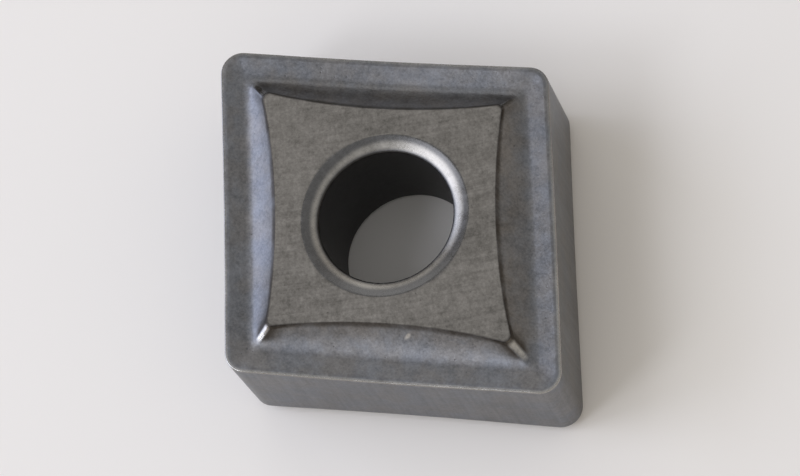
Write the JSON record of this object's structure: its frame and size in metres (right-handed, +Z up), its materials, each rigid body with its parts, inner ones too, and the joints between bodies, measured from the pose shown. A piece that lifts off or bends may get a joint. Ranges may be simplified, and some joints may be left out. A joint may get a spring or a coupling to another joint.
{
  "type": "carbide insert",
  "caption": "Double-sided 80 degree rhombic turning insert in cemented carbide, with a chip groove and raised ground seat on each face and a bore with rounded mouths.",
  "frame": {"origin": "where the axis of the bore meets the bottom seat", "axes": "+Z up along the bore, +X along the long diagonal through the two cutting corners, +Y along the short diagonal"},
  "size_m": [0.0188, 0.016, 0.0052],
  "materials": {
    "carbide": "uncoated cemented carbide: dark satin grey as sintered, lighter where the seats are ground"
  },
  "bodies": {
    "root": {"insert_body": "carbide"}
  },
  "joints": []
}
